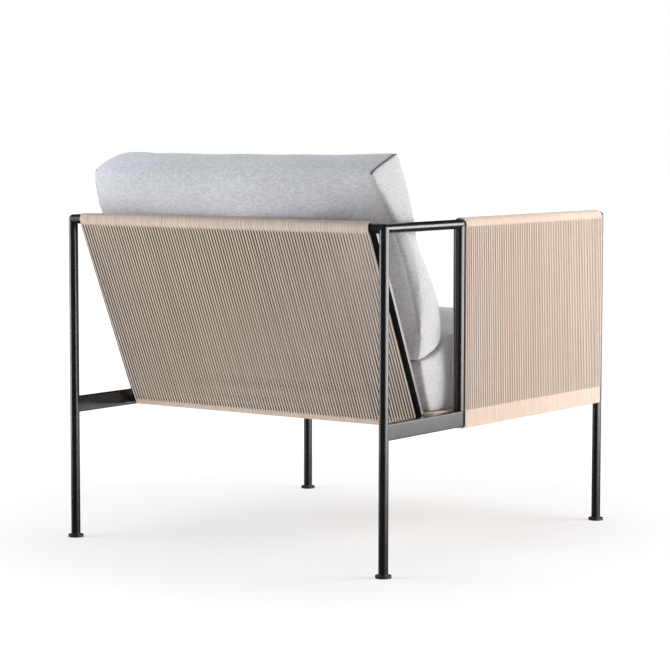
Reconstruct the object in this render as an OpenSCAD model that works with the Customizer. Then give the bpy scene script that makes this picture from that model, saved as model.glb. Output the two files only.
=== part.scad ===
// Low lounge armchair: round tube frame, wound cord panels and two loose cushions.
// Millimetres, +Z up, front towards -Y. Origin on the floor, under the middle of the chair.

/* [Frame] */
// Distance between the leg axes across the chair
frame_w = 740; // [600:5:900]
// Distance between the leg axes front to back
frame_d = 784; // [700:2:880]
// Height of the axis of the arm and back rails
rail_z = 632; // [560:2:720]
// Diameter of the round tube
tube_d = 18; // [16:0.5:24]
// Wall of the round tube
tube_wall = 2; // [1.2:0.1:3]
// Height of the side bars
bar_h = 30; // [24:1:40]
// Width of the side bars across the chair
bar_t = 18; // [14:0.5:18]
// Edge radius of the side bars
bar_edge_r = 2; // [1:0.5:3]
// Height of the middle of the side bars
bar_z = 265; // [240:1:290]
// Height of the axis of the seat rails
seat_rail_z = 268; // [260:1:271]
// Distance of the arm uprights behind the middle of the chair
upright_y = 138; // [100:1:170]

/* [Back] */
// Lean of the back panel from the vertical, in degrees
back_lean = 23.8; // [18:0.1:27]
// Length of the back panel from the top rail axis to the bottom rail
back_len = 404; // [380:1:410]
// Width of the flat back bars
back_bar_w = 14; // [10:0.5:18]
// Thickness of the flat back bars
back_bar_t = 6; // [5:0.5:8]
// Distance of the outer edge of a back bar from the leg axis
back_bar_inset = 18; // [16:0.5:30]
// Distance of the rear seat rail behind the middle of the chair
seat_rail_y = 198; // [180:1:202]

/* [Cord] */
// Diameter of the cord
cord_d = 4; // [3:0.1:5]
// Free room between the winding and the rails it is wound round
cord_gap = 0.2; // [0.1:0.05:0.4]
// Free room between an arm winding and the front leg
cord_end_gap = 0.2; // [0.1:0.05:2]
// How far an arm winding ends before the axis of the upright
cord_rear_gap = 2; // [0:0.5:12]
// Distance of the ends of the back winding from the leg axes
back_side_gap = 27.5; // [26:0.5:40]
// Distance of the ends of the seat winding from the leg axes
seat_side_gap = 14; // [12:0.5:30]

/* [Feet] */
// Diameter of the levelling foot
foot_d = 30; // [26:0.5:40]
// Thickness of the foot disc
foot_t = 5; // [4:0.5:8]
// Height of the collar on the foot disc
collar_h = 1.5; // [1:0.5:3]
// Diameter of the threaded stud
stud_d = 8; // [6:0.5:9]
// Length of the threaded stud
stud_l = 26; // [20:1:32]
// Free room between the collar and the leg end when the foot is screwed in
foot_gap = 0.2; // [0.1:0.05:0.5]
// Radial running clearance of the stud in its insert
stud_clear = 0.06; // [0.03:0.01:0.1]
// Length of the insert in the leg
insert_l = 30; // [24:1:36]
// Diameter of the rim under the leg end
insert_rim_d = 17; // [16:0.5:18]
// Thickness of the rim under the leg end
insert_rim_t = 1; // [0.8:0.1:2]

/* [Cushions] */
// Width of both cushions
cushion_w = 690; // [560:2:700]
// Thickness of the cushion covers
cover_t = 2; // [1.5:0.1:4]
// Depth of the edge rounding on the cushion sides
cushion_side = 14; // [8:1:24]
// Height of the back cushion above the top rail axis, along the panel
back_cushion_up = 92; // [70:1:110]
// Thickness of the seat cushion at its side
seat_cushion_t = 145; // [120:1:160]
// Length of the zips
zip_l = 420; // [300:5:480]
// Width of the zips
zip_w = 26; // [20:1:32]
// Thickness of the zips
zip_t = 1.2; // [0.8:0.1:2]

/* [Hidden] */

RIGHT = -1;             // the sitter's right is towards -X
LEFT = 1;
REAR = 1;
FRONT = -1;
tube_r = tube_d / 2;
bore_r = tube_r - tube_wall;
leg_x = frame_w / 2;
leg_y = frame_d / 2;
weld_gap = 0.1;         // room left at a coped tube end
vent_r = 1.5;           // weld vent between an arm rail and a leg
over = 1;               // extra length of a cutter
leg_z0 = foot_t + collar_h + foot_gap + insert_rim_t;
bar_top = bar_z + bar_h / 2;
wind_r = tube_r + cord_d;           // outer radius of a winding on a round rail
back_y = leg_y;                     // the back panel hangs from the top rail axis
lift_gap = 0.3;                     // room for the back cushion to slide up past the top rail
rear_stop = wind_r + lift_gap;      // the back cushion starts this far before the panel's middle
back_bar_x = leg_x - back_bar_inset - back_bar_w / 2;
back_rail_depth = 14;               // depth of the bottom rail, square to the panel
flat_r = 0.5;                       // edge radius of a flat bar under a winding
back_cord_w = 2 * (leg_x - back_side_gap);
seat_cord_w = 2 * (leg_x - seat_side_gap);
deck_z = seat_rail_z + wind_r;      // top of the seat winding
cushion_gap = 0.5;                  // free room under the cushions
frame_black = [0.06, 0.06, 0.065];
cord_sand = [0.83, 0.75, 0.66];
fabric_grey = [0.72, 0.72, 0.74];
foam_white = [0.93, 0.91, 0.86];
plastic_black = [0.10, 0.10, 0.10];

// Puts children at one corner of the leg rectangle
module at_leg(side, end) translate([side * leg_x, end * leg_y, 0]) children();

// Puts children on the back panel: local Z runs up the panel, local -Y faces the sitter
module on_back() translate([0, back_y, rail_z]) rotate([-back_lean, 0, 0]) children();

// Lays a shape that stands on Z along the Y axis, pointing forward
module along_y() rotate([90, 0, 0]) children();

// Lays a shape that stands on Z along the X axis
module along_x() rotate([0, 90, 0]) children();

// Half outline of a rod with a round end, for turning about its axis
module dome_profile(r, len) {
    translate([0, -len / 2]) square([r, len]);
    for (end = [-1, 1]) translate([0, end * len / 2]) intersection() {
        circle(r, $fn = 64);
        translate([0, -r]) square([r, 2 * r]);
    }
}

// Bar section with round edges
module bar_profile(w, h, r) {
    square([w - 2 * r, h], center = true);
    square([w, h - 2 * r], center = true);
    for (x = [-1, 1], y = [-1, 1])
        translate([x * (w / 2 - r), y * (h / 2 - r)]) circle(r, $fn = 32);
}

// Space taken by both arm rails and their round ends, with room for the weld
module arm_rail_space() {
    for (side = [LEFT, RIGHT]) translate([side * leg_x, 0, rail_z]) {
        along_y() cylinder(r = tube_r + weld_gap, h = frame_d, center = true, $fn = 64);
        for (end = [FRONT, REAR]) translate([0, end * leg_y, 0])
            sphere(r = tube_r + weld_gap, $fn = 64);
    }
}

// Space taken by the four legs, with room for the weld
module leg_space() for (side = [LEFT, RIGHT], end = [FRONT, REAR]) at_leg(side, end)
    cylinder(r = tube_r + weld_gap, h = rail_z, $fn = 64);

// One leg: an open tube from the foot to the rails
module leg(side, end) color(frame_black) difference() {
    at_leg(side, end) translate([0, 0, leg_z0]) difference() {
        cylinder(r = tube_r, h = rail_z - leg_z0, $fn = 64);
        translate([0, 0, -over]) cylinder(r = bore_r, h = rail_z, $fn = 64);
    }
    arm_rail_space();
}

// One threaded insert: a plug in the leg end with a rim below it
module leg_insert(side, end) color(plastic_black) at_leg(side, end) difference() {
    union() {
        translate([0, 0, leg_z0]) cylinder(r = bore_r, h = insert_l - insert_rim_t, $fn = 64);
        translate([0, 0, leg_z0 - insert_rim_t])
            cylinder(d = insert_rim_d, h = insert_rim_t, $fn = 64);
    }
    translate([0, 0, leg_z0 - insert_rim_t - over])
        cylinder(d = stud_d + 2 * stud_clear, h = insert_l + 2 * over, $fn = 48);
}

// One levelling foot: disc, collar and stud in one piece
module foot(side, end) color(plastic_black) at_leg(side, end) {
    cylinder(d = foot_d, h = foot_t, $fn = 96);
    cylinder(d = insert_rim_d, h = foot_t + collar_h, $fn = 64);
    cylinder(d = stud_d, h = foot_t + collar_h + stud_l, $fn = 48);
}

// One arm rail: a tube with round closed ends that bridges both legs, with a vent into each leg
module arm_rail(side) color(frame_black) translate([side * leg_x, 0, rail_z]) difference() {
    along_y() rotate_extrude($fn = 64) dome_profile(tube_r, frame_d);
    along_y() cylinder(r = bore_r, h = frame_d - tube_wall, center = true, $fn = 64);
    for (end = [FRONT, REAR]) translate([0, end * (leg_y - vent_r - tube_wall), -tube_r - over])
        cylinder(r = vent_r, h = tube_r, $fn = 32);
}

// One arm upright: a tube on the side bar, coped under the arm rail
module arm_upright(side) color(frame_black) difference() {
    translate([side * leg_x, upright_y, bar_top]) difference() {
        cylinder(r = tube_r, h = rail_z - bar_top, $fn = 64);
        translate([0, 0, -over]) cylinder(r = bore_r, h = rail_z, $fn = 64);
    }
    arm_rail_space();
}

// One side bar between the legs of one side, coped round them and the front seat rail
module side_bar(side) color(frame_black) difference() {
    translate([side * leg_x, 0, bar_z]) along_y() difference() {
        linear_extrude(frame_d, center = true) bar_profile(bar_t, bar_h, bar_edge_r);
        cube([bar_t - 2 * tube_wall, bar_h - 2 * tube_wall, frame_d + over], center = true);
    }
    leg_space();
    translate([0, -leg_y, seat_rail_z]) along_x()
        cylinder(r = tube_r + weld_gap, h = frame_w, center = true, $fn = 64);
}

// Front seat rail: a tube between the front legs
module front_seat_rail() color(frame_black) difference() {
    translate([0, -leg_y, seat_rail_z]) along_x() difference() {
        cylinder(r = tube_r, h = frame_w, center = true, $fn = 64);
        cylinder(r = bore_r, h = frame_w + over, center = true, $fn = 64);
    }
    leg_space();
}

// Rear seat rail: a tube between the side bars
module rear_seat_rail() color(frame_black) translate([0, seat_rail_y, seat_rail_z]) along_x() difference() {
    cylinder(r = tube_r, h = frame_w - bar_t, center = true, $fn = 64);
    cylinder(r = bore_r, h = frame_w, center = true, $fn = 64);
}

// Back top rail: a tube between the arm rails
module back_top_rail() color(frame_black) difference() {
    translate([0, back_y, rail_z]) along_x() difference() {
        cylinder(r = tube_r, h = frame_w, center = true, $fn = 64);
        cylinder(r = bore_r, h = frame_w + over, center = true, $fn = 64);
    }
    arm_rail_space();
    leg_space();
}

// One flat back bar, from the top rail down to the bottom rail
module back_bar(side) color(frame_black) difference() {
    on_back() translate([side * back_bar_x - back_bar_w / 2, -back_bar_t / 2, back_bar_t / 2 - back_len])
        cube([back_bar_w, back_bar_t, back_len - back_bar_t / 2]);
    translate([0, back_y, rail_z]) along_x()
        cylinder(r = tube_r + weld_gap, h = frame_w, center = true, $fn = 64);
}

// Back bottom rail: a flat bar between the side bars, square to the panel
module back_bottom_rail() color(frame_black) on_back()
    translate([0, 0, -back_len])
        cube([frame_w - bar_t, back_rail_depth, back_bar_t], center = true);

// Outline of a rail in a winding's section, grown by g
module rail_section(w, h, g, at)
    translate([0, at]) for (x = [-1, 1], y = [-1, 1])
        translate([x * w / 2, y * h / 2]) circle(g, $fn = 40);

// A winding stretched over two rails, drawn across it: first rail at zero, second at -span
module winding(len, span, r1, w2, h2, r2)
    linear_extrude(len, center = true) difference() {
        hull() {
            circle(r1 + cord_d, $fn = 48);
            rail_section(w2, h2, r2 + cord_d, -span);
        }
        hull() {
            circle(r1 + cord_gap, $fn = 48);
            rail_section(w2, h2, r2 + cord_gap, -span);
        }
    }

// One arm winding, from the upright to the front leg, over the arm rail and the side bar
module arm_cord(side) {
    rear_y = upright_y - cord_rear_gap;
    front_y = -leg_y + tube_r + cord_end_gap;
    color(cord_sand) translate([side * leg_x, (rear_y + front_y) / 2, rail_z]) along_y()
        winding(rear_y - front_y, rail_z - bar_z, tube_r,
            bar_t - 2 * bar_edge_r, bar_h - 2 * bar_edge_r, bar_edge_r);
}

// Back winding between the back bars
module back_cord() color(cord_sand) on_back() rotate([90, 0, 90])
    winding(back_cord_w, back_len, tube_r,
        back_rail_depth - 2 * flat_r, back_bar_t - 2 * flat_r, flat_r);

// Seat winding over the front and rear seat rails
module seat_cord() color(cord_sand) translate([0, -leg_y, seat_rail_z]) rotate([90, 0, 90]) rotate([0, 0, 90])
    winding(seat_cord_w, leg_y + seat_rail_y, tube_r, 0, 0, tube_r);

// Side outline of the back cushion on the panel: y before the panel, z along it
function back_cushion_points() = let (up = back_cushion_up, down = 292) [
    [-rear_stop - 22, up], [-85, up + 14], [-132, up], [-158, 20], [-168, -90],
    [-160, -220], [-140, 10 - down], [-90, -down - 14], [-rear_stop - 24, -down],
    [-rear_stop - 3, -200], [-rear_stop, -90], [-rear_stop - 5, 30]
];

// Side outline of the seat cushion: y front to back, z up
function seat_cushion_points() = let (
    z0 = deck_z + cushion_gap,
    top = z0 + seat_cushion_t,
    front = -leg_y
) [
    [front + 16, z0], [193, z0], [201, z0 + 8], [229, top - 78], [110, top - 4],
    [-60, top + 12], [-250, top + 12], [front + 46, top], [front + 8, top - 26],
    [front - 2, top - 80], [front + 4, z0 + 12]
];

// A cushion body: the outline drawn across X, thinner towards both sides
module cushion_body(points, inset) hull() {
    along_x_section(cushion_w - 2 * (inset + cushion_side)) offset(delta = -inset) polygon(points);
    along_x_section(cushion_w - 2 * inset) offset(delta = -inset - cushion_side) polygon(points);
}

// Extrudes a YZ outline along X, middle on the YZ plane
module along_x_section(len) rotate([90, 0, 90]) linear_extrude(len, center = true) children();

module back_cushion_core() color(foam_white) on_back() cushion_body(back_cushion_points(), cover_t);

module back_cushion_cover() color(fabric_grey) on_back() difference() {
    cushion_body(back_cushion_points(), 0);
    cushion_body(back_cushion_points(), cover_t);
}

module seat_cushion_core() color(foam_white) cushion_body(seat_cushion_points(), cover_t);

module seat_cushion_cover() color(fabric_grey) difference() {
    cushion_body(seat_cushion_points(), 0);
    cushion_body(seat_cushion_points(), cover_t);
}

// A zip lying flat on the wall between two points of an outline
module zip_on(p, q) color(fabric_grey)
    translate([0, (p[0] + q[0]) / 2, (p[1] + q[1]) / 2])
        rotate([atan2(q[1] - p[1], q[0] - p[0]), 0, 0])
            translate([-zip_l / 2, -zip_w / 2, -zip_t]) cube([zip_l, zip_w, zip_t]);

// Zip in the rear wall of the seat cushion
module seat_cushion_zip() zip_on(seat_cushion_points()[2], seat_cushion_points()[3]);

// Zip in the bottom wall of the back cushion
module back_cushion_zip() on_back() zip_on(back_cushion_points()[6], back_cushion_points()[7]);

leg(LEFT, REAR);  // rear_leg_left
leg(RIGHT, REAR);  // rear_leg_right
leg(LEFT, FRONT);  // front_leg_left
leg(RIGHT, FRONT);  // front_leg_right
leg_insert(LEFT, REAR);  // insert_rear_left
leg_insert(RIGHT, REAR);  // insert_rear_right
leg_insert(LEFT, FRONT);  // insert_front_left
leg_insert(RIGHT, FRONT);  // insert_front_right
foot(LEFT, REAR);  // foot_rear_left
foot(RIGHT, REAR);  // foot_rear_right
foot(LEFT, FRONT);  // foot_front_left
foot(RIGHT, FRONT);  // foot_front_right
arm_rail(LEFT);  // arm_rail_left
arm_rail(RIGHT);  // arm_rail_right
arm_upright(LEFT);  // arm_upright_left
arm_upright(RIGHT);  // arm_upright_right
side_bar(LEFT);  // side_bar_left
side_bar(RIGHT);  // side_bar_right
front_seat_rail();
rear_seat_rail();
back_top_rail();
back_bar(LEFT);  // back_bar_left
back_bar(RIGHT);  // back_bar_right
back_bottom_rail();
arm_cord(LEFT);  // arm_cord_left
arm_cord(RIGHT);  // arm_cord_right
back_cord();
seat_cord();
seat_cushion_core();
seat_cushion_cover();
seat_cushion_zip();
back_cushion_core();
back_cushion_cover();
back_cushion_zip();
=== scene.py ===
import math

import bmesh
import bpy
import numpy as np
from mathutils import Matrix, Vector, noise
from mathutils.bvhtree import BVHTree
from mathutils.kdtree import KDTree


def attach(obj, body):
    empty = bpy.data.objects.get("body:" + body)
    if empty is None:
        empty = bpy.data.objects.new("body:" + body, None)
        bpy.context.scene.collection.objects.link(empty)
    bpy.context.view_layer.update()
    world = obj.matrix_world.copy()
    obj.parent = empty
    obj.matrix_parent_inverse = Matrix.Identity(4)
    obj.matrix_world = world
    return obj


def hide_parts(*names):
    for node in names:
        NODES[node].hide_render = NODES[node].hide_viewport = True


bl_info = {
    "name": "Cord Lounge Armchair",
    "version": (1, 0, 0),
    "blender": (4, 5, 0),
    "location": "View3D > Sidebar > Lounge Chair",
    "description": "Builds the cord windings, cushions and finishes of a low lounge armchair round its frame",
    "category": "Object",
}

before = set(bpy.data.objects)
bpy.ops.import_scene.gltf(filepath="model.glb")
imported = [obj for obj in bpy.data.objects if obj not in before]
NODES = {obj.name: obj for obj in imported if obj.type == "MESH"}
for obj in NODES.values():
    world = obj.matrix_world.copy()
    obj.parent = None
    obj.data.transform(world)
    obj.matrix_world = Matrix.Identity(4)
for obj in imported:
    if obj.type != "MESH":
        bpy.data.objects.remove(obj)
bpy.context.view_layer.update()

MM = 0.001
LEFT, RIGHT = 1, -1

# The frame's own sizes, in metres, as in the part's source
LEG_X = 370 * MM
LEG_Y = 392 * MM
RAIL_Z = 632 * MM
TUBE_R = 9 * MM
CORD_GAP = 0.2 * MM
CORD_ROOM = 4 * MM              # the thickness that a winding takes in the frame
BACK_LEAN = math.radians(23.8)
BACK_LEN = 404 * MM
BACK_RAIL = (14 * MM, 6 * MM, 0.5 * MM)     # depth, height, edge radius
BACK_SIDE_GAP = 27.5 * MM
SIDE_BAR = (18 * MM, 30 * MM, 2 * MM)       # width, height, edge radius
SIDE_BAR_Z = 265 * MM
SEAT_RAIL_Y = 198 * MM
SEAT_RAIL_Z = 268 * MM
SEAT_SIDE_GAP = 14 * MM
ARM_REAR_Y = 136 * MM
ARM_FRONT_Y = -LEG_Y + TUBE_R + CORD_GAP
DECK_Z = SEAT_RAIL_Z + TUBE_R + CORD_ROOM
CUSHION_HALF_W = 345 * MM

BRAID_STRANDS = 4.0             # strands that cross on a cord's way round
BRAID_LENGTH = 3.2 * MM         # length of one turn of the braid
CORD_SIDES, FILLER_SIDES = 10, 8
FILLER_SINK = 0.15 * MM         # how far a filler turn lies below the cords beside it
CLOTH_STEPS = 20                # frames of the filling simulation
PILE_GAP = 1.5 * MM             # room kept between the two cushions
LIE_GAP = 0.6 * MM              # room kept between a cushion and a winding

PANEL_ORIGIN = Vector((0, LEG_Y, RAIL_Z))
PANEL_TURN = Matrix.Rotation(-BACK_LEAN, 3, "X")


def on_panel(x, y, z):
    """A point in the back panel's own axes, placed in the chair."""
    return PANEL_ORIGIN + PANEL_TURN @ Vector((x, y, z))


# ---------------------------------------------------------------- settings


class LoungeFrameSettings(bpy.types.PropertyGroup):
    """Finish of the steel frame and its plastic fittings"""

    steel: bpy.props.FloatVectorProperty(
        name="Steel colour", description="Colour of the powder coat",
        subtype="COLOR", size=4, min=0, max=1, default=(0.010, 0.010, 0.011, 1))
    steel_roughness: bpy.props.FloatProperty(
        name="Steel roughness", description="How matt the powder coat is",
        subtype="FACTOR", min=0, max=1, default=0.27)
    plastic: bpy.props.FloatVectorProperty(
        name="Plastic colour", description="Colour of the feet and inserts",
        subtype="COLOR", size=4, min=0, max=1, default=(0.018, 0.018, 0.019, 1))


class LoungeCordSettings(bpy.types.PropertyGroup):
    """The cord and how closely it is wound"""

    cord_width: bpy.props.FloatProperty(
        name="Cord width", description="Thickness of one cord",
        unit="LENGTH", min=0.002, max=0.006, default=3.5 * MM)
    filler_width: bpy.props.FloatProperty(
        name="Filler width", description="Thickness of the turns squeezed between the cords on the rails",
        unit="LENGTH", min=0.001, max=0.006, default=3.0 * MM)
    back_cords: bpy.props.IntProperty(
        name="Back cords", description="Cords on each face of the back", min=10, max=300, default=105)
    arm_cords: bpy.props.IntProperty(
        name="Arm cords", description="Cords on each face of an arm", min=10, max=300, default=79)
    seat_cords: bpy.props.IntProperty(
        name="Seat cords", description="Cords on each face of the seat", min=10, max=300, default=109)
    stagger: bpy.props.FloatProperty(
        name="Stagger", description="How far a cord moves along the rail from face to face, in pitches",
        min=0, max=1, default=0.5)
    arm_stagger: bpy.props.FloatProperty(
        name="Arm stagger", description="The same on the arms, whose inner face starts further forward",
        min=0, max=2, default=1.25)
    unevenness: bpy.props.FloatProperty(
        name="Unevenness", description="How far a cord may lie off its even place",
        unit="LENGTH", min=0, max=0.001, default=0.15 * MM)
    seed: bpy.props.IntProperty(
        name="Seed", description="Fixes the small random shifts of the cords", min=0, default=7)
    colour: bpy.props.FloatVectorProperty(
        name="Cord colour", description="Colour of the cord",
        subtype="COLOR", size=4, min=0, max=1, default=(0.78, 0.645, 0.545, 1))
    # Painted shade: cord sides that face a winding's hollow are darkened to this brightness, standing in for the
    # shade inside the winding.
    painted_hollow_shade: bpy.props.FloatProperty(
        name="Hollow shade", description="Brightness of the cord's shaded side, inside a winding",
        subtype="FACTOR", min=0, max=1, default=0.03)


class LoungeCushionSettings(bpy.types.PropertyGroup):
    """Shape and cloth of the two loose cushions"""

    voxel: bpy.props.FloatProperty(
        name="Cloth mesh size", description="Side of the cloth mesh's faces",
        unit="LENGTH", min=0.003, max=0.02, default=6 * MM)
    pressure: bpy.props.FloatProperty(
        name="Filling pressure", description="How hard the filling pushes the cover out",
        min=0, max=20, default=4)
    seat_rise: bpy.props.FloatProperty(
        name="Seat swell limit", description="Furthest that the seat cover may move out",
        unit="LENGTH", min=0, max=0.05, default=8 * MM)
    back_rise: bpy.props.FloatProperty(
        name="Back swell limit", description="Furthest that the back cover may move out",
        unit="LENGTH", min=0, max=0.05, default=10 * MM)
    seam_depth: bpy.props.FloatProperty(
        name="Seam depth", description="How deep a seam draws the cloth in",
        unit="LENGTH", min=0, max=0.01, default=2.4 * MM)
    cloth: bpy.props.FloatVectorProperty(
        name="Cloth colour", description="Colour of the cloth's light threads",
        subtype="COLOR", size=4, min=0, max=1, default=(0.50, 0.50, 0.52, 1))


class LoungeStageSettings(bpy.types.PropertyGroup):
    """Floor, lights and camera"""

    floor: bpy.props.FloatVectorProperty(
        name="Floor colour", description="Colour of the floor",
        subtype="COLOR", size=4, min=0, max=1, default=(0.9, 0.9, 0.9, 1))
    lens: bpy.props.FloatProperty(
        name="Lens", description="Focal length", unit="CAMERA", min=20, max=300, default=127.04)
    rear_light: bpy.props.FloatProperty(
        name="Rear light", description="Power of the cool light behind the chair on the sitter's left",
        unit="POWER", min=0, max=2000, default=66)
    side_light: bpy.props.FloatProperty(
        name="Side light", description="Power of the warm light on the sitter's right",
        unit="POWER", min=0, max=2000, default=88)
    top_light: bpy.props.FloatProperty(
        name="Top light", description="Power of the wide light above the chair",
        unit="POWER", min=0, max=2000, default=30)
    fill_light: bpy.props.FloatProperty(
        name="Fill light", description="Power of the wide light behind the chair",
        unit="POWER", min=0, max=2000, default=5)
    room_light: bpy.props.FloatProperty(
        name="Room light", description="Strength of the even light all round", min=0, max=10, default=0.15)
    side_card: bpy.props.FloatProperty(
        name="Side card", description="Power of the wide card that the steel mirrors on the sitter's right",
        unit="POWER", min=0, max=2000, default=200)
    rear_card: bpy.props.FloatProperty(
        name="Rear card", description="Power of the cool card that the steel mirrors on the sitter's left",
        unit="POWER", min=0, max=2000, default=45)


# ---------------------------------------------------------------- nodes


def fill(tree, node, inputs):
    """Sets or links a node's inputs, given by name or number, from values or sockets."""
    for key, value in inputs.items():
        if isinstance(value, bpy.types.NodeSocket):
            tree.links.new(value, node.inputs[key])
        else:
            node.inputs[key].default_value = value


def add(tree, kind, inputs=None, **settings):
    """A new node with its settings and inputs."""
    node = tree.nodes.new(kind)
    for key, value in settings.items():
        setattr(node, key, value)
    fill(tree, node, inputs or {})
    return node


def maths(tree, operation, *terms):
    """The result of a maths node."""
    return add(tree, "ShaderNodeMath", dict(enumerate(terms)), operation=operation).outputs[0]


def vector_maths(tree, operation, a, b=None):
    """The result of a vector maths node; b is the amount where it scales."""
    inputs = {0: a}
    if b is not None:
        inputs["Scale" if operation == "SCALE" else 1] = b
    node = add(tree, "ShaderNodeVectorMath", inputs, operation=operation)
    return node.outputs["Value" if operation in ("DOT_PRODUCT", "LENGTH") else "Vector"]


def split(tree, vector):
    """The three parts of a vector."""
    return list(add(tree, "ShaderNodeSeparateXYZ", {0: vector}).outputs)


def noise_value(tree, where, scale, detail, roughness=0.5):
    """Noise from 0 to 1."""
    return add(tree, "ShaderNodeTexNoise", {"Vector": where, "Scale": scale, "Detail": detail,
                                            "Roughness": roughness}).outputs["Fac"]


def map_values(tree, source, low, high, from_low=0.0, from_high=1.0, **settings):
    """A value spread from one range to another."""
    return add(tree, "ShaderNodeMapRange", {"Value": source, "From Min": from_low, "From Max": from_high,
                                            "To Min": low, "To Max": high}, **settings).outputs[0]


def mix_colours(tree, factor, a, b):
    """A colour mix driven by a factor; a and b are colours or sockets."""
    return add(tree, "ShaderNodeMix", {0: factor, 6: a, 7: b}, data_type="RGBA").outputs[2]


def new_group(name, kind, inputs, outputs):
    """A node group with named sockets; returns its tree, its given values and its output node."""
    tree = bpy.data.node_groups.new(name, kind)
    for label, socket_kind, *value in inputs:
        socket = tree.interface.new_socket(label, in_out="INPUT", socket_type="NodeSocket" + socket_kind)
        if value:
            socket.default_value = value[0]
    for label, socket_kind in outputs:
        tree.interface.new_socket(label, in_out="OUTPUT", socket_type="NodeSocket" + socket_kind)
    return tree, tree.nodes.new("NodeGroupInput").outputs, tree.nodes.new("NodeGroupOutput")


# ---------------------------------------------------------------- materials


def new_material(name):
    """An empty node material; returns it with its tree and its Principled shader."""
    made = bpy.data.materials.new(name)
    made.use_nodes = True
    tree = made.node_tree
    return made, tree, next(n for n in tree.nodes if n.type == "BSDF_PRINCIPLED")


def scaled_colour(colour, amount):
    """A colour made lighter or darker."""
    return (*(min(1.0, c * amount) for c in colour[:3]), 1)


def add_bump(tree, shader, height, distance, strength):
    """Bump from a height into the shader's normal."""
    bump = add(tree, "ShaderNodeBump", {"Strength": strength, "Distance": distance, "Height": height})
    tree.links.new(bump.outputs[0], shader.inputs["Normal"])


def fine_grain_group():
    """Fine pebbled surface with slow patches, for powder coat and moulded plastic."""
    tree, given, out = new_group(
        "Fine grain", "ShaderNodeTree",
        [("Grain size", "Float", 900.0), ("Patch size", "Float", 18.0)],
        [("Height", "Float"), ("Patches", "Float")])
    where = add(tree, "ShaderNodeTexCoord").outputs["Object"]
    fill(tree, out, {"Height": noise_value(tree, where, given["Grain size"], 2.0),
                     "Patches": noise_value(tree, where, given["Patch size"], 3.0)})
    return tree


def weave_group():
    """Plain weave laid on the three main planes, with flecked threads."""
    tree, given, out = new_group(
        "Plain weave", "ShaderNodeTree",
        [("Threads", "Float", 2800.0), ("Fleck size", "Float", 260.0)],
        [("Height", "Float"), ("Flecks", "Float"), ("Shade", "Float")])
    where = add(tree, "ShaderNodeTexCoord").outputs
    scaled = vector_maths(tree, "SCALE", where["Object"], given["Threads"])
    waves = [maths(tree, "SINE", part) for part in split(tree, scaled)]
    facing = [maths(tree, "ABSOLUTE", part) for part in split(tree, where["Normal"])]
    total = 0.0
    for axis in range(3):
        one, other = (waves[i] for i in range(3) if i != axis)
        cross = maths(tree, "MULTIPLY", one, other)
        total = maths(tree, "ADD", total, maths(tree, "MULTIPLY", cross, facing[axis]))
    along_thread = add(tree, "ShaderNodeMapping", {"Vector": where["Object"], "Scale": (0.45, 1.0, 1.0)},
                       vector_type="POINT").outputs[0]
    fleck = noise_value(tree, along_thread, given["Fleck size"], 4.0, 0.7)
    fill(tree, out, {"Height": map_values(tree, total, 0.0, 1.0, -1.0, 1.0),
                     "Flecks": map_values(tree, fleck, 0.0, 1.0, 0.32, 0.68),
                     "Shade": noise_value(tree, where["Object"], 9.0, 3.0)})
    return tree


def coated_material(name, grain, colour, roughness, grain_size, depth, coat):
    """Powder coat or moulded plastic."""
    made, tree, shader = new_material(name)
    pebble = add(tree, "ShaderNodeGroup", {"Grain size": grain_size}, node_tree=grain).outputs
    fill(tree, shader, {
        "Base Color": mix_colours(tree, pebble["Patches"], scaled_colour(colour, 0.8),
                                  scaled_colour(colour, 1.25)),
        "Roughness": map_values(tree, pebble["Patches"], roughness - 0.05, roughness + 0.05),
        "Coat Weight": coat, "Coat Roughness": 0.25})
    add_bump(tree, shader, pebble["Height"], depth, 0.6)
    return made


def cord_material(settings):
    """Braided cord: the braid follows each cord, and each cord is a little lighter or darker."""
    made, tree, shader = new_material("sand_cord")
    around, along, tone, hollow = (add(tree, "ShaderNodeAttribute", attribute_name=name).outputs
                                   for name in ("around", "along", "tone", "hollow"))
    across, up, _ = split(tree, around["Vector"])
    carriers = maths(tree, "MULTIPLY", maths(tree, "ARCTAN2", up, across), BRAID_STRANDS)
    lay = maths(tree, "MULTIPLY", along["Fac"], 2 * math.pi / BRAID_LENGTH)
    one_way, other_way = (maths(tree, "SINE", maths(tree, operation, lay, carriers))
                          for operation in ("ADD", "SUBTRACT"))
    height = map_values(tree, maths(tree, "MULTIPLY", one_way, other_way), 0.0, 1.0, -1.0, 1.0)
    # Painted shade and highlight: the braid's low parts are darker and its raised parts lighter in the base colour.
    base = mix_colours(tree, height, scaled_colour(settings.colour, 0.86), scaled_colour(settings.colour, 1.05))
    shift = map_values(tree, tone["Fac"], 0.93, 1.05)
    # Painted shade: cord sides facing the winding's hollow, and the deepened flanks, are darkened towards the hollow
    # shade setting.
    shade = map_values(tree, hollow["Fac"], 1.0, settings.painted_hollow_shade, 0.05, 0.65)
    fill(tree, shader, {
        "Base Color": vector_maths(tree, "SCALE", base, maths(tree, "MULTIPLY", shift, shade)),
        "Roughness": 0.78, "Specular IOR Level": 0.25, "Sheen Weight": 0.10, "Sheen Roughness": 0.5})
    add_bump(tree, shader, height, 0.35 * MM, 0.8)
    return made


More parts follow.
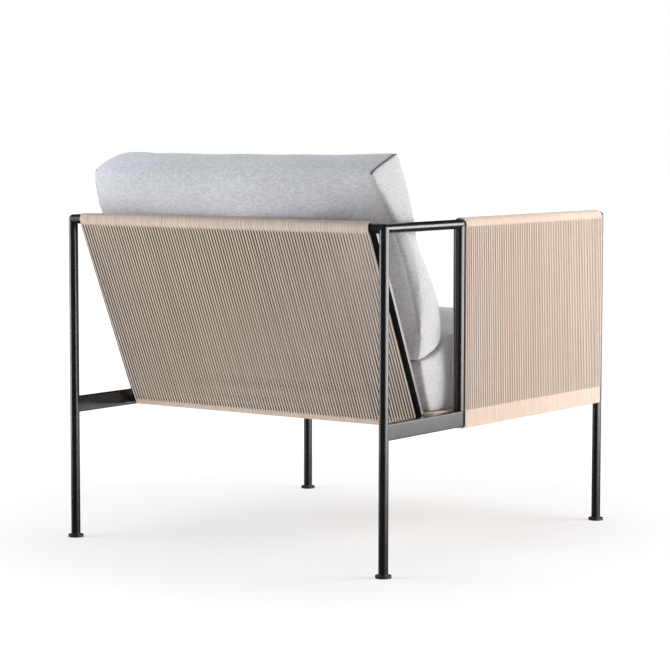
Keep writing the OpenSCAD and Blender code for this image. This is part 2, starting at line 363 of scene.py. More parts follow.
def cloth_material(name, weave, colour, threads, depth):
    """Flecked woven cloth."""
    made, tree, shader = new_material(name)
    cloth = add(tree, "ShaderNodeGroup", {"Threads": threads}, node_tree=weave).outputs
    flecked = mix_colours(tree, cloth["Flecks"], scaled_colour(colour, 0.74), scaled_colour(colour, 1.20))
    # Painted highlight: the weave's raised threads are lighter in the base colour.
    woven = mix_colours(tree, map_values(tree, cloth["Height"], 0.0, 0.35), flecked,
                        scaled_colour(colour, 1.08))
    soft = map_values(tree, cloth["Shade"], 0.95, 1.05, 0.3, 0.7)
    fill(tree, shader, {"Base Color": vector_maths(tree, "SCALE", woven, soft),
                        "Roughness": 0.9, "Sheen Weight": 0.3, "Sheen Roughness": 0.45})
    add_bump(tree, shader, cloth["Height"], depth, 0.7)
    return made


def material(name):
    """A material made by an earlier step."""
    found = bpy.data.materials.get(name)
    if found is None:
        raise RuntimeError(f"make the finish {name} first")
    return found


def paint(node_name, finish):
    """A frame piece gets a finish."""
    mesh = NODES[node_name].data
    mesh.materials.clear()
    mesh.materials.append(finish)
    for slot in NODES[node_name].material_slots:
        slot.material = finish


# ---------------------------------------------------------------- pieces


def new_piece(name, data):
    """A new object in the scene."""
    piece = bpy.data.objects.new(name, data)
    bpy.context.collection.objects.link(piece)
    return piece


def piece_from(bm, name, smooth=False, turn_out=True):
    """The finished faces as a piece."""
    if turn_out:
        bmesh.ops.recalc_face_normals(bm, faces=bm.faces)
    mesh = bpy.data.meshes.new(name)
    bm.to_mesh(mesh)
    bm.free()
    if smooth:
        mesh.polygons.foreach_set("use_smooth", [True] * len(mesh.polygons))
    return new_piece(name, mesh)


def place_on(piece, body, finish=None):
    """Gives a piece its finish and the body that it rides on."""
    if finish:
        piece.data.materials.append(material(finish))
    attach(piece, body)


# ---------------------------------------------------------------- windings


def hull_outline(discs, steps):
    """The tight loop round some discs, as (n, d, outward n) samples; a disc is (n, d, radius)."""
    samples = []
    for n0, d0, radius in discs:
        for k in range(steps):
            a = 2 * math.pi * k / steps
            samples.append((n0 + radius * math.cos(a), d0 + radius * math.sin(a), math.cos(a)))
    samples.sort()

    def half(points):
        chain = []
        for p in points:
            while len(chain) > 1:
                (ax, ay, _), (bx, by, _) = chain[-2:]
                if (bx - ax) * (p[1] - ay) - (by - ay) * (p[0] - ax) > 1e-12:
                    break
                chain.pop()
            chain.append(p)
        return chain[:-1]

    return half(samples) + half(samples[::-1])


def rail_discs(width, height, edge, at, grow):
    """The four corner discs of a rail's section, grown for the cord's middle line."""
    half_w, half_h = width / 2 - edge, height / 2 - edge
    return [(sx * half_w, at + sz * half_h, edge + grow) for sx in (-1, 1) for sz in (-1, 1)]


def facing_hollow(tree, given):
    """How far a cord's surface faces its winding's hollow, -1 to 1, deepened on the cord's flanks. It is the mask of
    the cords' painted shade.
    """
    away = vector_maths(tree, "SUBTRACT", add(tree, "GeometryNodeInputPosition").outputs[0], given["Middle"])
    side = maths(tree, "SIGN", vector_maths(tree, "DOT_PRODUCT", away, given["Outward"]))
    normal = add(tree, "GeometryNodeInputNormal").outputs[0]
    outward = maths(tree, "MULTIPLY", side, vector_maths(tree, "DOT_PRODUCT", normal, given["Outward"]))
    rail_way = vector_maths(tree, "NORMALIZE", given["Step"])
    flank = maths(tree, "ABSOLUTE", vector_maths(tree, "DOT_PRODUCT", normal, rail_way))
    return maths(tree, "MULTIPLY_ADD", outward, -1.0, maths(tree, "MULTIPLY", flank, given["Deepen"]))


def store(tree, geometry, name, value, kind="FLOAT", domain="POINT"):
    """The geometry with a named attribute on it."""
    return add(tree, "GeometryNodeStoreNamedAttribute", {"Geometry": geometry, "Name": name, "Value": value},
               data_type=kind, domain=domain).outputs[0]


def random_value(tree, seed, more, low=0.0, high=1.0):
    """A random number for each copy; more keeps two such numbers apart."""
    return add(tree, "FunctionNodeRandomValue", {2: low, 3: high, "Seed": maths(tree, "ADD", seed, more)},
               data_type="FLOAT").outputs[1]


def end_tree(tree, geometry, finish, out):
    """Makes the copies real and gives them their material, as the tree's result."""
    real = add(tree, "GeometryNodeRealizeInstances", {0: geometry}).outputs[0]
    painted = add(tree, "GeometryNodeSetMaterial", {"Geometry": real, "Material": finish})
    fill(tree, out, {0: painted.outputs[0]})
    return tree


def winding_tree():
    """Cords and filler turns repeated along a rail from one loop of each."""
    tree, given, out = new_group(
        "Wound cord", "GeometryNodeTree",
        [("Loops", "Geometry"), ("Cords", "Int"), ("Step", "Vector"), ("Cord width", "Float"),
         ("Filler width", "Float"), ("Unevenness", "Float"), ("Seed", "Int"), ("Deepen", "Float"),
         ("Middle", "Vector"), ("Outward", "Vector"), ("Finish", "Material")],
        [("Geometry", "Geometry")])
    tree.is_modifier = True
    filler = add(tree, "GeometryNodeInputNamedAttribute", {"Name": "filler"}, data_type="FLOAT")
    chosen = add(tree, "FunctionNodeCompare", {0: filler.outputs["Attribute"], 1: 0.5},
                 data_type="FLOAT", operation="GREATER_THAN").outputs[0]
    apart = add(tree, "GeometryNodeSeparateGeometry", {"Geometry": given["Loops"], "Selection": chosen},
                domain="POINT").outputs
    fewer = maths(tree, "SUBTRACT", given["Cords"], 1.0)
    direction = vector_maths(tree, "NORMALIZE", given["Step"])
    joined = add(tree, "GeometryNodeJoinGeometry")
    for part, width, count, sides, seed in (("Inverted", "Cord width", given["Cords"], CORD_SIDES, 0.0),
                                            ("Selection", "Filler width", fewer, FILLER_SIDES, 1.0)):
        line = add(tree, "GeometryNodeMeshToCurve", {0: apart[part]}).outputs[0]
        line = store(tree, line, "along", add(tree, "GeometryNodeSplineParameter").outputs["Length"])
        section = add(tree, "GeometryNodeCurvePrimitiveCircle",
                      {"Resolution": sides, "Radius": maths(tree, "DIVIDE", given[width], 2.0)}).outputs[0]
        around = vector_maths(tree, "NORMALIZE", add(tree, "GeometryNodeInputPosition").outputs[0])
        tube = add(tree, "GeometryNodeCurveToMesh", {
            "Curve": line, "Profile Curve": store(tree, section, "around", around, "FLOAT_VECTOR")}).outputs[0]
        # hollow is the mask for the cords' painted shade, darker where they face the winding's hollow and on their
        # flanks.
        tube = add(tree, "GeometryNodeSetShadeSmooth", {
            "Geometry": store(tree, tube, "hollow", facing_hollow(tree, given))}).outputs[0]
        places = add(tree, "GeometryNodeMeshLine", {"Count": count, "Offset": given["Step"]},
                     mode="OFFSET").outputs[0]
        shift = maths(tree, "MULTIPLY", random_value(tree, given["Seed"], seed, -1.0), given["Unevenness"])
        places = add(tree, "GeometryNodeSetPosition", {
            "Geometry": places, "Offset": vector_maths(tree, "SCALE", direction, shift)}).outputs[0]
        copies = add(tree, "GeometryNodeInstanceOnPoints", {"Points": places, "Instance": tube}).outputs[0]
        tone = random_value(tree, given["Seed"], seed + 20.0)
        fill(tree, joined, {0: store(tree, copies, "tone", tone, domain="INSTANCE")})
    return end_tree(tree, joined.outputs[0], given["Finish"], out)


def run_tree(mesh, tree, name, values):
    """Runs a geometry tree on a mesh and returns the result as a plain piece."""
    holder = new_piece(name + "_source", mesh)
    modifier = holder.modifiers.new("tree", "NODES")
    modifier.node_group = tree
    for item in tree.interface.items_tree:
        if item.item_type == "SOCKET" and item.in_out == "INPUT" and item.name in values:
            modifier[item.identifier] = values[item.name]
    holder.update_tag()
    graph = bpy.context.evaluated_depsgraph_get()
    graph.update()
    result = bpy.data.meshes.new_from_object(holder.evaluated_get(graph), depsgraph=graph)
    holder.modifiers.remove(modifier)
    bpy.data.objects.remove(holder)
    bpy.data.meshes.remove(mesh)
    if not result.polygons:
        raise RuntimeError(f"{name} came out empty")
    result.name = name
    return new_piece(name, result)


def wound_panel(name, node, settings, first, along, down, outward, length, cords, span, rail, stagger=None,
                deepen=0.0):
    """One winding between two rails.

    first is a point on the first rail's axis where the winding starts. span is the way from rail to rail,
    rail the second rail's depth, height and edge radius, and stagger how far a cord moves along the rails
    from face to face, in pitches.
    """
    # deepen makes the painted shade reach further onto the cords' flanks.
    stagger = stagger or settings.stagger
    pitch = (length - settings.cord_width) / (cords - 1)
    grow = CORD_GAP + settings.cord_width / 2
    filler_grow = CORD_GAP + settings.cord_width - settings.filler_width / 2 - FILLER_SINK
    loops = [
        (0.0, 0.0, hull_outline([(0, 0, TUBE_R + grow)] + rail_discs(*rail, span, grow), 32)),
        (1.0, pitch / 2, hull_outline([(0, 0, TUBE_R + filler_grow)], 20)),
        (1.0, pitch / 2, hull_outline(rail_discs(*rail, span, filler_grow), 20))]
    places, edges, fillers = [], [], []
    for filler, start, outline in loops:
        base, count = len(places), len(outline)
        for n0, d0, facing in outline:
            shift = start + settings.cord_width / 2 + stagger * pitch * (1 - facing) / 2
            places.append(first + along * shift + down * d0 + outward * n0)
            fillers.append(filler)
        edges += [(base + k, base + (k + 1) % count) for k in range(count)]
    mesh = bpy.data.meshes.new(name + "_loops")
    mesh.from_pydata([tuple(p) for p in places], edges, [])
    mesh.attributes.new("filler", "FLOAT", "POINT").data.foreach_set("value", fillers)
    piece = run_tree(mesh, bpy.data.node_groups.get("Wound cord") or winding_tree(), name, {
        "Cords": cords, "Step": tuple(along * pitch), "Cord width": settings.cord_width,
        "Filler width": settings.filler_width, "Unevenness": settings.unevenness,
        "Seed": settings.seed, "Deepen": deepen, "Middle": tuple(first), "Outward": tuple(outward),
        "Finish": material("sand_cord")})
    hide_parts(node)
    place_on(piece, "frame")


# ---------------------------------------------------------------- cushions

END_REACH = 3.2         # how late along the cushion the middle's outline gives way to the end's
PANEL_CROWN = 2.4       # how flat the middle of an end panel is
HUMP_AT, HUMP_WIDTH = 0.84, 0.15    # place and width of the hump, in half widths
GROOVE_WIDTH = 2.6 * MM
PUCKER, PUCKER_REACH = 1.1 * MM, 22 * MM    # height of the small creases, and how far from a seam they go
SLACK, SLACK_FROM = 2.2 * MM, 60 * MM       # height of the broad waves, and where they are full


def smooth_loop(corners, per_side=14):
    """A closed outline through some points, as (a, b) samples with the same number between each two points."""
    count, samples = len(corners), []
    for i in range(count):
        p0, p1, p2, p3 = (Vector(corners[(i + k) % count]) for k in (-1, 0, 1, 2))
        gap = (p2 - p1).length
        way_in = (p2 - p0) * gap / max((p1 - p0).length + gap, 1e-9)
        way_out = (p3 - p1) * gap / max((p3 - p2).length + gap, 1e-9)
        for k in range(per_side):
            t = k / per_side
            samples.append(p1 * (2 * t ** 3 - 3 * t * t + 1) + way_in * (t ** 3 - 2 * t * t + t)
                           + p2 * (3 * t * t - 2 * t ** 3) + way_out * (t ** 3 - t * t))
    return samples


def fill_cover(name, left, middle, right, half_w, end_swell, place, hump=0.0, steps=48, rows=9):
    """A closed cushion from its outline at each end and in the middle, with swollen end panels.

    The hump lifts the top beside the sitter's left end. Returns the piece and its two seam lines, sitter's
    left first.
    """
    count = len(middle)
    sections = []
    for k in range(steps + 1):
        t = 1 - 2 * k / steps
        t = math.sin(t * math.pi / 2)
        full = 1 - abs(t) ** END_REACH
        share = (t + 1) / 2
        lift = hump * math.exp(-((t - HUMP_AT) / HUMP_WIDTH) ** 2) * min(1.0, (1 - t) / 0.06)
        sections.append((t * half_w, [m * full + (a * share + b * (1 - share)) * (1 - full)
                                      + Vector((0, lift * min(1.0, max(0.0, m.y / (70 * MM)))))
                                      for a, m, b in zip(left, middle, right)]))
    rings = []
    for outline, x0, way in ((left, half_w, 1), (right, -half_w, -1)):
        centre = sum(outline, Vector((0, 0))) / count
        end = []
        for k in range(1, rows):
            q = 1 - k / rows
            end.append((x0 + way * end_swell * (1 - q ** PANEL_CROWN), [centre + (p - centre) * q for p in outline]))
        rings.append((end, (x0 + way * end_swell, centre)))
    (left_end, left_tip), (right_end, right_tip) = rings
    ordered = left_end[::-1] + sections + right_end
    bm = bmesh.new()
    made = [[bm.verts.new(place(x, *p)) for p in outline] for x, outline in ordered]
    for one, other in zip(made, made[1:]):
        for i in range(count):
            j = (i + 1) % count
            bm.faces.new((one[i], one[j], other[j], other[i]))
    for ring, (x, centre) in ((made[0], left_tip), (made[-1], right_tip)):
        tip = bm.verts.new(place(x, *centre))
        for i in range(count):
            bm.faces.new((ring[i], ring[(i + 1) % count], tip))
    return piece_from(bm, name), [[place(half_w, *p) for p in left], [place(-half_w, *p) for p in right]]


def coordinates(mesh):
    """All points of a mesh as an array."""
    flat = np.empty(len(mesh.vertices) * 3)
    mesh.vertices.foreach_get("co", flat)
    return flat.reshape(-1, 3)


def put_coordinates(mesh, points):
    """Moves all points of a mesh."""
    mesh.vertices.foreach_set("co", np.ascontiguousarray(points).ravel())
    mesh.update()


def apply_modifier(piece):
    """The piece's modifiers become its mesh."""
    graph = bpy.context.evaluated_depsgraph_get()
    graph.update()
    made = bpy.data.meshes.new_from_object(piece.evaluated_get(graph), depsgraph=graph)
    old = piece.data
    piece.modifiers.clear()
    piece.data = made
    bpy.data.meshes.remove(old)


def near(points, targets, reach):
    """For each point, its distance to the nearest target, up to reach."""
    tree = KDTree(len(targets))
    for i, p in enumerate(targets):
        tree.insert(p, i)
    tree.balance()
    return np.array([min(reach, tree.find(p)[2]) for p in points])


def inflate(piece, seams, settings, rise, hold=None):
    """Remeshes the cushion, lets its filling push the cover out between the held seams, and applies it."""
    remesh = piece.modifiers.new("remesh", "REMESH")
    remesh.mode = "VOXEL"
    remesh.voxel_size = settings.voxel * 1.0
    apply_modifier(piece)
    mesh = piece.data
    start = coordinates(mesh)
    distance = near(start, seams, 0.1)
    held = np.clip(1 - (distance - settings.voxel * 0.7) / (settings.voxel * 1.2), 0, 1)
    if hold is not None:
        held = np.maximum(held, hold(start))
    group = piece.vertex_groups.new(name="held")
    for i in np.nonzero(held > 0)[0]:
        group.add([int(i)], float(held[i]), "REPLACE")
    cloth = piece.modifiers.new("filling", "CLOTH")
    for key, value in {
            "quality": 5, "mass": 0.25, "tension_stiffness": 18, "compression_stiffness": 18,
            "shear_stiffness": 6, "bending_stiffness": 1.2, "use_pressure": True,
            "uniform_pressure_force": settings.pressure, "vertex_group_mass": "held"}.items():
        setattr(cloth.settings, key, value)
    cloth.settings.effector_weights.gravity = 0
    cloth.collision_settings.use_collision = False
    cloth.collision_settings.use_self_collision = False
    scene = bpy.context.scene
    for step in range(1, CLOTH_STEPS + 1):
        scene.frame_set(step)
    apply_modifier(piece)
    scene.frame_set(1)
    mesh = piece.data
    moved = coordinates(mesh)
    away = moved - start
    size = np.linalg.norm(away, axis=1, keepdims=True)
    limited = rise * np.tanh(size / rise)
    away *= np.where(size > 1e-9, limited / np.maximum(size, 1e-9), 0)
    put_coordinates(mesh, start + away)


def vertex_normals(mesh):
    flat = np.empty(len(mesh.vertices) * 3)
    mesh.vertex_normals.foreach_get("vector", flat)
    return flat.reshape(-1, 3)


def finish_cushion(piece, seams, settings, keep_clear):
    """Draws the seams in, puckers the cloth beside them, and keeps the piece clear of its neighbours."""
    smooth = piece.modifiers.new("smooth", "SUBSURF")
    smooth.levels = smooth.render_levels = 1
    apply_modifier(piece)
    mesh = piece.data
    points, normals = coordinates(mesh), vertex_normals(mesh)
    distance = near(points, seams, 0.12)
    groove = settings.seam_depth * np.exp(-(distance / GROOVE_WIDTH) ** 2)
    fine = np.array([noise.noise(Vector(p) * 42) for p in points])
    broad = np.array([noise.noise(Vector(p) * 9 + Vector((3, 1, 7))) for p in points])
    pucker = PUCKER * fine * np.exp(-distance / PUCKER_REACH)
    slow = SLACK * broad * np.clip(distance / SLACK_FROM, 0, 1)
    points = points + normals * (pucker + slow - groove)[:, None]
    put_coordinates(mesh, keep_clear(points))
    mesh.polygons.foreach_set("use_smooth", [True] * len(mesh.polygons))


def surface(piece):
    """A search tree of the piece's faces."""
    points = [tuple(p) for p in coordinates(piece.data)]
    return BVHTree.FromPolygons(points, [tuple(f.vertices) for f in piece.data.polygons])


def sweep(name, path, radius, closed, sides=8):
    """A round bead along a path, closed on itself or with a rounded end at each side."""
    bm = bmesh.new()
    rings, count = [], len(path)
    normal = None
    for i, p in enumerate(path):
        before = path[i - 1] if closed or i else p
        after = path[(i + 1) % count] if closed or i < count - 1 else p
        tangent = (after - before).normalized()
        if normal is None:
            normal = tangent.orthogonal().normalized()
        normal = (normal - tangent * normal.dot(tangent)).normalized()
        other = tangent.cross(normal)
        rings.append([bm.verts.new(p + (normal * math.cos(a) + other * math.sin(a)) * radius)
                      for a in (2 * math.pi * k / sides for k in range(sides))])
    if closed:
        joins = [(rings[i], rings[(i + 1) % count]) for i in range(count)]
        first, last = rings[0], rings[-1]
        start = min(range(sides), key=lambda k: (last[0].co - first[k].co).length)
        joins[-1] = (last, [first[(k + start) % sides] for k in range(sides)])
    else:
        joins = list(zip(rings, rings[1:]))
        for ring, p, step in ((rings[0], path[0], path[0] - path[1]),
                              (rings[-1], path[-1], path[-1] - path[-2])):
            tip = bm.verts.new(p + step.normalized() * radius * 0.8)
            for k in range(sides):
                bm.faces.new((ring[k], ring[(k + 1) % sides], tip))
    for one, other in joins:
        for k in range(sides):
            j = (k + 1) % sides
            bm.faces.new((one[k], one[j], other[j], other[k]))
    return piece_from(bm, name, smooth=True)


def on_surface(tree, points, lift):
    """The points moved onto the cloth and lifted a little off it."""
    placed = []
    for p in points:
        spot, normal, _, _ = tree.find_nearest(p)
        placed.append(spot + normal * lift)
    for _ in range(3):
        placed = [(placed[i - 1] + placed[i] * 2 + placed[(i + 1) % len(placed)]) / 4
                  for i in range(len(placed))]
    return placed


def sew_ends(cushion, ends, body, shadow_from=None):
    """A thread bead in both end seams, and a near-black bead where the caller's test says so, a painted shadow in
    the seam's open gap.
    """
    tree = surface(cushion)
    for word, seam in zip(("left", "right"), ends):
        line = on_surface(tree, seam, 0.1 * MM)
        thread = sweep(f"{cushion.name}_seam_{word}", line, 0.8 * MM, True)
        place_on(thread, body, "seam_thread")
        # Painted shadow: a near-black bead along the top of the seam, where the seam's gap lies in shade.
        if shadow_from is not None:
            top = [p for p, q in zip(line, seam) if shadow_from(q)]
            turn = max(range(len(top)), key=lambda i: (top[i] - top[i - 1]).length)
            top = top[turn:] + top[:turn]
            seam_shadow_bead = sweep(f"{cushion.name}_piping_{word}", [p + Vector((0, 0, 0.5 * MM)) for p in top],
                           1.3 * MM, False)
            place_on(seam_shadow_bead, body, "dark_piping")


def teeth_tree():
    """Zip teeth repeated along a line."""
    tree, given, out = new_group(
        "Zip teeth", "GeometryNodeTree",
        [("Line", "Geometry"), ("Spacing", "Float"), ("Tooth", "Vector"), ("Finish", "Material")],
        [("Geometry", "Geometry")])
    tree.is_modifier = True
    line = add(tree, "GeometryNodeMeshToCurve", {0: given["Line"]}).outputs[0]
    spots = add(tree, "GeometryNodeCurveToPoints", {"Curve": line, "Length": given["Spacing"]}, mode="LENGTH")
    tooth = add(tree, "GeometryNodeMeshCube", {"Size": given["Tooth"]})
    copies = add(tree, "GeometryNodeInstanceOnPoints", {
        "Points": spots.outputs["Points"], "Instance": tooth.outputs["Mesh"]}).outputs[0]
    return end_tree(tree, copies, given["Finish"], out)


def sew_zip(cushion, node, body, centre, across, outward, length=420 * MM, width=26 * MM):
    """A zip on the cushion's wall: tape, teeth and slider, laid on the cloth."""
    tree = surface(cushion)
    steps, lanes = 84, 6

    def spot(x, w, lift):
        start = centre + Vector((x, 0, 0)) + across * w + outward * (60 * MM)
        found, _, _, _ = tree.ray_cast(start, -outward)
        if found is None:
            raise RuntimeError(f"the zip of {cushion.name} misses the cloth")
        return found + outward * lift

    bm = bmesh.new()
    grid = [[bm.verts.new(spot((i / steps - 0.5) * length, (j / lanes - 0.5) * width,
                               0.9 * MM - 0.5 * MM * abs(j / lanes - 0.5) * 2))
             for j in range(lanes + 1)] for i in range(steps + 1)]
    for i in range(steps):
        for j in range(lanes):
            bm.faces.new((grid[i][j], grid[i + 1][j], grid[i + 1][j + 1], grid[i][j + 1]))
    bmesh.ops.recalc_face_normals(bm, faces=bm.faces)
    bm.normal_update()
    if sum((f.normal.dot(outward) for f in bm.faces)) < 0:
        bmesh.ops.reverse_faces(bm, faces=bm.faces)
    bmesh.ops.solidify(bm, geom=bm.faces[:], thickness=0.8 * MM)
    tape = piece_from(bm, cushion.name + "_zip_tape", turn_out=False)
    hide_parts(node)
    place_on(tape, body, "zip_tape")
    line = bpy.data.meshes.new(cushion.name + "_zip_line")
    places = [spot((i / steps - 0.5) * (length - 24 * MM), 0, 1.0 * MM) for i in range(steps + 1)]
    line.from_pydata([tuple(p) for p in places], [(i, i + 1) for i in range(steps)], [])
    teeth = run_tree(line, bpy.data.node_groups.get("Zip teeth") or teeth_tree(), cushion.name + "_zip_teeth", {
        "Spacing": 2.6 * MM, "Tooth": (1.5 * MM, 3.6 * MM, 3.6 * MM), "Finish": material("zip_metal")})
    place_on(teeth, body)
    end = places[3]
    bm = bmesh.new()
    for size, offset in (((11 * MM, 8 * MM, 3.4 * MM), 0.0), ((17 * MM, 4.6 * MM, 1.2 * MM), 12 * MM)):
        made = bmesh.ops.create_cube(bm, size=1.0)["verts"]
        for v in made:
            x, w, h = (v.co[k] * size[k] for k in range(3))
            v.co = end + Vector((x + offset, 0, 0)) + across * w + outward * (h + 1.6 * MM)
    bmesh.ops.bevel(bm, geom=bm.edges[:], offset=0.5 * MM, segments=2, affect="EDGES")
    place_on(piece_from(bm, cushion.name + "_zip_slider"), body, "zip_metal")


# ---------------------------------------------------------------- operators


class LOUNGE_OT_finishes(bpy.types.Operator):
    """Make the finishes and give the steel frame, feet and inserts theirs"""

    bl_idname = "lounge.finishes"
    bl_label = "Frame Finishes"

    def execute(self, context):
        frame_set = context.scene.lounge_frame
        grain, weave = fine_grain_group(), weave_group()
        steel = coated_material("black_powder_coat", grain, frame_set.steel,
                                frame_set.steel_roughness, 1400.0, 0.05 * MM, 0.35)
        plastic = coated_material("black_plastic", grain, frame_set.plastic, 0.48, 2200.0, 0.06 * MM, 0.0)
        cord_material(context.scene.lounge_cord)
        cloth = context.scene.lounge_cushion.cloth
        cloth_material("grey_cloth", weave, cloth, 2800.0, 0.35 * MM)
        cloth_material("seam_thread", weave, scaled_colour(cloth, 0.94), 5200.0, 0.2 * MM)
        # Near-black bead colour: painted shadow in the open gap of the cushions' top end seams.
        cloth_material("dark_piping", weave, (0.02, 0.02, 0.022, 1), 5200.0, 0.2 * MM)
        cloth_material("zip_tape", weave, scaled_colour(cloth, 0.62), 5200.0, 0.2 * MM)
        coated_material("zip_metal", grain, (0.16, 0.16, 0.17, 1), 0.3, 3000.0, 0.03 * MM, 0.2)
        for name in NODES:
            if name.startswith(("insert", "foot")):
                paint(name, plastic)
            elif "cord" not in name and "cushion" not in name:
                paint(name, steel)
        return {"FINISHED"}


class LOUNGE_OT_windings(bpy.types.Operator):
    """Wind the cord on the back, the seat and both arms"""

    bl_idname = "lounge.windings"
    bl_label = "Cord Windings"

    def execute(self, context):
        settings = context.scene.lounge_cord
        half = LEG_X - BACK_SIDE_GAP
        # The back cords' flanks get deeper painted shade (deepen=0.6).
        wound_panel("back_winding", "back_cord", settings, on_panel(-half, 0, 0), Vector((1, 0, 0)),
                    PANEL_TURN @ Vector((0, 0, -1)), PANEL_TURN @ Vector((0, 1, 0)), 2 * half,
                    settings.back_cords, BACK_LEN, BACK_RAIL, deepen=0.6)
        half = LEG_X - SEAT_SIDE_GAP
        wound_panel("seat_winding", "seat_cord", settings, Vector((-half, -LEG_Y, SEAT_RAIL_Z)),
                    Vector((1, 0, 0)), Vector((0, 1, 0)), Vector((0, 0, 1)), 2 * half,
                    settings.seat_cords, LEG_Y + SEAT_RAIL_Y, (2 * TUBE_R, 2 * TUBE_R, TUBE_R))
        for side, word in ((LEFT, "left"), (RIGHT, "right")):
            wound_panel("arm_winding_" + word, "arm_cord_" + word, settings,
                        Vector((side * LEG_X, ARM_FRONT_Y, RAIL_Z)), Vector((0, 1, 0)), Vector((0, 0, -1)),
                        Vector((side, 0, 0)), ARM_REAR_Y - ARM_FRONT_Y, settings.arm_cords,
                        RAIL_Z - SIDE_BAR_Z, SIDE_BAR, stagger=settings.arm_stagger)
        return {"FINISHED"}


class LOUNGE_OT_seat_cushion(bpy.types.Operator):
    """Sew and fill the seat cushion"""

    bl_idname = "lounge.seat_cushion"
    bl_label = "Seat Cushion"

    def execute(self, context):
        settings = context.scene.lounge_cushion
        low = DECK_Z + 1.5 * MM
        end = [(198, 0), (204, 7), (215, 34), (224, 63), (232, 90), (229, 96), (205, 100), (181, 106),
               (162, 117), (150, 131), (138, 139), (100, 142), (-120, 144), (-340, 141), (-376, 139),
               (-384, 133), (-386, 90), (-385, 30), (-380, 3), (-370, 0), (-100, 0), (100, 0)]
        middle = [(201, 0), (209, 7), (222, 32), (231, 60), (237, 80), (232, 87), (205, 92), (178, 98),
                  (152, 111), (136, 128), (120, 139), (80, 145), (-120, 149), (-330, 144), (-372, 139),
                  (-386, 131), (-391, 90), (-389, 30), (-382, 3), (-370, 0), (-100, 0), (100, 0)]
        end, middle = ([(a * MM, low + b * MM) for a, b in outline] for outline in (end, middle))
        end, middle = smooth_loop(end), smooth_loop(middle)
        piece, ends = fill_cover("seat_cushion", end, middle, end, CUSHION_HALF_W - 2 * MM, 7 * MM,
                                 lambda x, a, b: (x, a, b))
        seams = [Vector(p) for seam in ends for p in seam]
        inflate(piece, seams, settings, settings.seat_rise, lambda p: (p[:, 2] < low + 2 * MM).astype(float))

        neighbour = surface(bpy.data.objects["back_cushion"])

        def keep_clear(points):
            """Keeps the cloth above the deck and off the back cushion."""
            points[:, 2] = np.maximum(points[:, 2], DECK_Z + LIE_GAP)
            for i in np.nonzero((points[:, 1] > 60 * MM) & (points[:, 2] > 330 * MM))[0]:
                spot, normal, _, _ = neighbour.find_nearest(Vector(points[i]))
                gap = (Vector(points[i]) - spot).dot(normal)
                if gap < PILE_GAP:
                    points[i] = Vector(points[i]) + normal * (PILE_GAP - gap)
            return points

        finish_cushion(piece, seams, settings, keep_clear)
        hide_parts("seat_cushion_cover", "seat_cushion_core")
        place_on(piece, "seat_cushion", "grey_cloth")
        sew_ends(piece, ends, "seat_cushion")
        sew_zip(piece, "seat_cushion_zip", "seat_cushion", Vector((0, 215 * MM, 316 * MM)),
                Vector((0, 0.386, 0.923)), Vector((0, 0.923, -0.386)))
        return {"FINISHED"}


class LOUNGE_OT_back_cushion(bpy.types.Operator):
    """Sew and fill the back cushion"""

    bl_idname = "lounge.back_cushion"
    bl_label = "Back Cushion"

    def execute(self, context):
        settings = context.scene.lounge_cushion
        low_part = [(-73, -141), (-63, -239), (-42, -288), (-52, -297), (-97, -302), (-119, -299),
                    (-132, -286), (-142, -250), (-145, -225), (-137, -166), (-128, -120)]
        left = [(-62, 69), (-54, 42), (-51, 6), (-66, -69), *low_part, (-124, -70), (-128, -40),
                (-134, 10), (-138, 48), (-136, 72), (-128, 77), (-68, 75)]
        right = [(-39, 86), (-48, 46), (-58, 6), (-69, -69), *low_part, (-121, -70), (-126, -40),
                 (-134, 10), (-135, 50), (-133, 87), (-128, 91), (-45, 92)]
        middle = [(-30, 72), (-20, 40), (-16, 6), (-15, -69), (-15, -141), (-16, -239), (-24, -284),
                  (-42, -300), (-97, -311), (-125, -307), (-146, -292), (-160, -250), (-165, -225),
                  (-166, -166), (-165, -120), (-163, -70), (-161, -40), (-158, 10), (-153, 46),
                  (-143, 75), (-130, 84), (-47, 87)]
        left, right, middle = (smooth_loop([(a * MM, b * MM) for a, b in outline])
                               for outline in (left, right, middle))
        piece, ends = fill_cover("back_cushion", left, middle, right, CUSHION_HALF_W - 4 * MM, 14 * MM,
                                 on_panel, hump=6 * MM)
        seams = [Vector(p) for seam in ends for p in seam]
        inflate(piece, seams, settings, settings.back_rise)
        turn = np.array(PANEL_TURN)

        def keep_clear(points):
            """Keeps the cloth in front of the back winding."""
            local = (points - np.array(PANEL_ORIGIN)) @ turn
            local[:, 1] = np.minimum(local[:, 1], -(TUBE_R + CORD_ROOM + LIE_GAP))
            return local @ turn.T + np.array(PANEL_ORIGIN)

        finish_cushion(piece, seams, settings, keep_clear)
        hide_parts("back_cushion_cover", "back_cushion_core")
        place_on(piece, "back_cushion", "grey_cloth")
        upright = PANEL_TURN.transposed()
        # The near-black bead along each end seam's top edge is a painted seam shadow.
        sew_ends(piece, ends, "back_cushion",
                 lambda p: (upright @ (p - PANEL_ORIGIN)).z > (74 if p.x > 0 else 88) * MM)
        sew_zip(piece, "back_cushion_zip", "back_cushion", on_panel(0, -105 * MM, -294 * MM),
                PANEL_TURN @ Vector((0, 1, 0)), PANEL_TURN @ Vector((0, 0, -1)))
        return {"FINISHED"}


